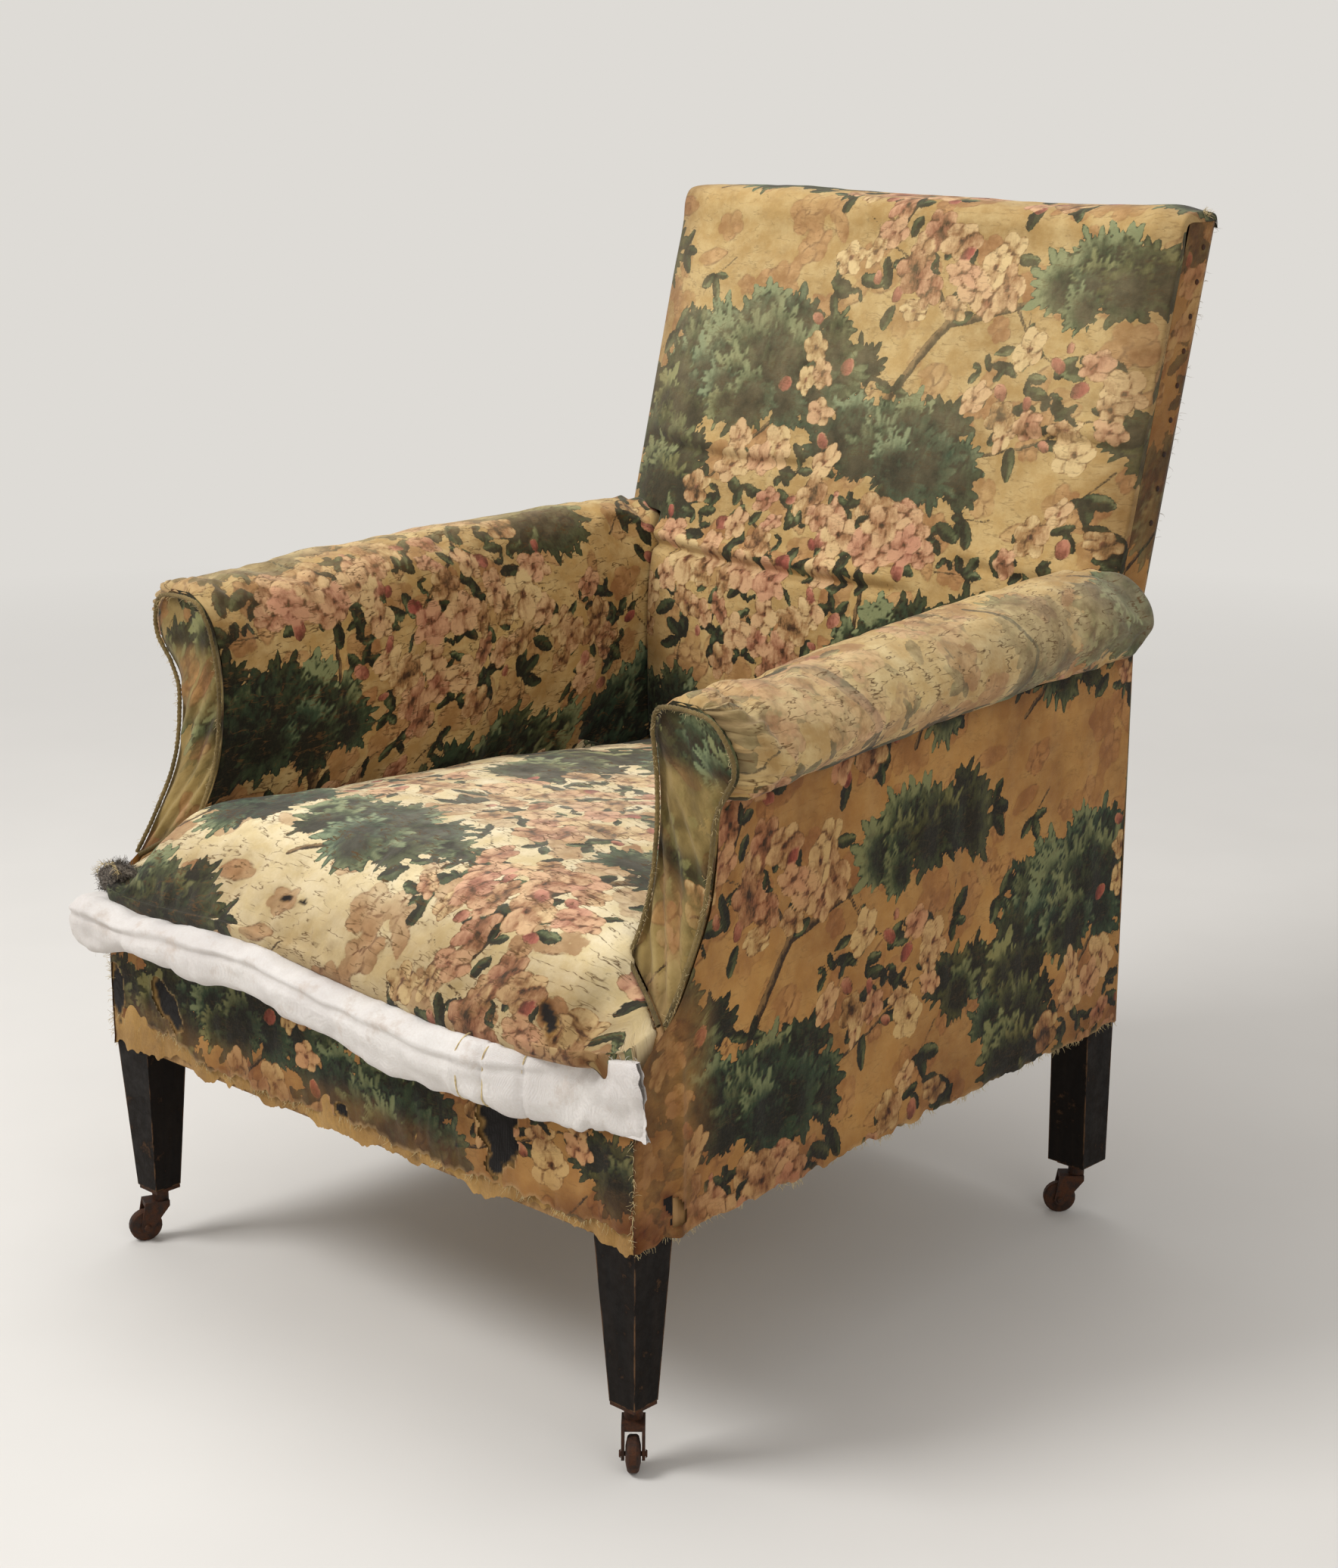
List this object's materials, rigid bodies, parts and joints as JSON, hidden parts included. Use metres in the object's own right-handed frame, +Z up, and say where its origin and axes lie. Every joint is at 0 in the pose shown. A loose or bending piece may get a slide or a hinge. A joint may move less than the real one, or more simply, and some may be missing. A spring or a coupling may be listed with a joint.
{
  "type": "upholstered armchair",
  "caption": "Worn rolled-arm easy chair with a raked back, a sprung sagging seat, a loose white roll along the seat front, and tapered legs on swivelling castors.",
  "frame": {"origin": "middle of the chair's footprint, on the floor", "axes": "+Z up, -Y the way the sitter faces, +X the chair's right side as seen from in front"},
  "size_m": [0.7426, 0.8276, 0.927],
  "materials": {
    "dark_wood": "dark stained wood, scuffed, with pale worn edges",
    "frame_wood": "bare beech, sawn",
    "chintz": "faded ochre cotton chintz with printed blossom, foliage and twigs",
    "calico": "unbleached white calico over stuffing",
    "piping_cord": "frayed brown and green covered cord",
    "jute": "jute webbing and hessian",
    "spring_steel": "dull steel wire, lightly rusted",
    "rusted_iron": "rusted iron"
  },
  "bodies": {
    "chair": {"front_leg_left": "dark_wood", "back_post_left": "dark_wood", "side_rail_left": "frame_wood", "arm_post_left": "frame_wood", "arm_rail_left": "frame_wood", "arm_lower_rail_left": "frame_wood", "corner_block_front_left": "frame_wood", "corner_block_back_left": "frame_wood", "arm_pad_left": "chintz", "arm_facing_left": "chintz", "outside_arm_left": "chintz", "facing_piping_left": "piping_cord", "front_leg_right": "dark_wood", "back_post_right": "dark_wood", "side_rail_right": "frame_wood", "arm_post_right": "frame_wood", "arm_rail_right": "frame_wood", "arm_lower_rail_right": "frame_wood", "corner_block_front_right": "frame_wood", "corner_block_back_right": "frame_wood", "arm_pad_right": "chintz", "arm_facing_right": "chintz", "outside_arm_right": "chintz", "facing_piping_right": "piping_cord", "front_rail": "frame_wood", "back_rail": "frame_wood", "back_top_rail": "frame_wood", "back_lower_rail": "frame_wood", "seat_pad": "chintz", "inside_back_pad": "chintz", "outside_back_panel": "chintz", "front_border": "chintz", "edge_roll": "calico", "seat_webbing": "jute", "seat_hessian": "jute", "seat_spring_front_left": "spring_steel", "seat_spring_front_centre": "spring_steel", "seat_spring_front_right": "spring_steel", "seat_spring_middle_left": "spring_steel", "seat_spring_middle_centre": "spring_steel", "seat_spring_middle_right": "spring_steel", "seat_spring_back_left": "spring_steel", "seat_spring_back_centre": "spring_steel", "seat_spring_back_right": "spring_steel", "castor_plate_front_right": "rusted_iron", "castor_plate_front_left": "rusted_iron", "castor_plate_back_right": "rusted_iron", "castor_plate_back_left": "rusted_iron"},
    "castor_front_right": {"castor_horn_front_right": "rusted_iron", "castor_axle_front_right": "rusted_iron"},
    "wheel_front_right": {"castor_wheel_front_right": "rusted_iron"},
    "castor_front_left": {"castor_horn_front_left": "rusted_iron", "castor_axle_front_left": "rusted_iron"},
    "wheel_front_left": {"castor_wheel_front_left": "rusted_iron"},
    "castor_back_right": {"castor_horn_back_right": "rusted_iron", "castor_axle_back_right": "rusted_iron"},
    "wheel_back_right": {"castor_wheel_back_right": "rusted_iron"},
    "castor_back_left": {"castor_horn_back_left": "rusted_iron", "castor_axle_back_left": "rusted_iron"},
    "wheel_back_left": {"castor_wheel_back_left": "rusted_iron"}
  },
  "joints": [
    {"name": "castor_front_right_swivel", "type": "hinge", "parent": "chair", "child": "castor_front_right", "pos_m": [0.3027, -0.33755, 0.04], "axis": [0, 0, 1], "continuous": true},
    {"name": "wheel_front_right_roll", "type": "hinge", "parent": "castor_front_right", "child": "wheel_front_right", "pos_m": [0.31293, -0.34852, 0.01487], "axis": [0.7314, 0.682, 0], "continuous": true},
    {"name": "castor_front_left_swivel", "type": "hinge", "parent": "chair", "child": "castor_front_left", "pos_m": [-0.3027, -0.33755, 0.04], "axis": [0, 0, 1], "continuous": true},
    {"name": "wheel_front_left_roll", "type": "hinge", "parent": "castor_front_left", "child": "wheel_front_left", "pos_m": [-0.3088, -0.35125, 0.01487], "axis": [0.9135, -0.4067, 0], "continuous": true},
    {"name": "castor_back_right_swivel", "type": "hinge", "parent": "chair", "child": "castor_back_right", "pos_m": [0.273, 0.2927, 0.04], "axis": [0, 0, 1], "continuous": true},
    {"name": "wheel_back_right_roll", "type": "hinge", "parent": "castor_back_right", "child": "wheel_back_right", "pos_m": [0.26203, 0.28247, 0.01487], "axis": [0.682, -0.7314, 0], "continuous": true},
    {"name": "castor_back_left_swivel", "type": "hinge", "parent": "chair", "child": "castor_back_left", "pos_m": [-0.273, 0.2927, 0.04], "axis": [0, 0, 1], "continuous": true},
    {"name": "wheel_back_left_roll", "type": "hinge", "parent": "castor_back_left", "child": "wheel_back_left", "pos_m": [-0.28004, 0.30594, 0.01487], "axis": [-0.8829, -0.4695, 0], "continuous": true}
  ]
}
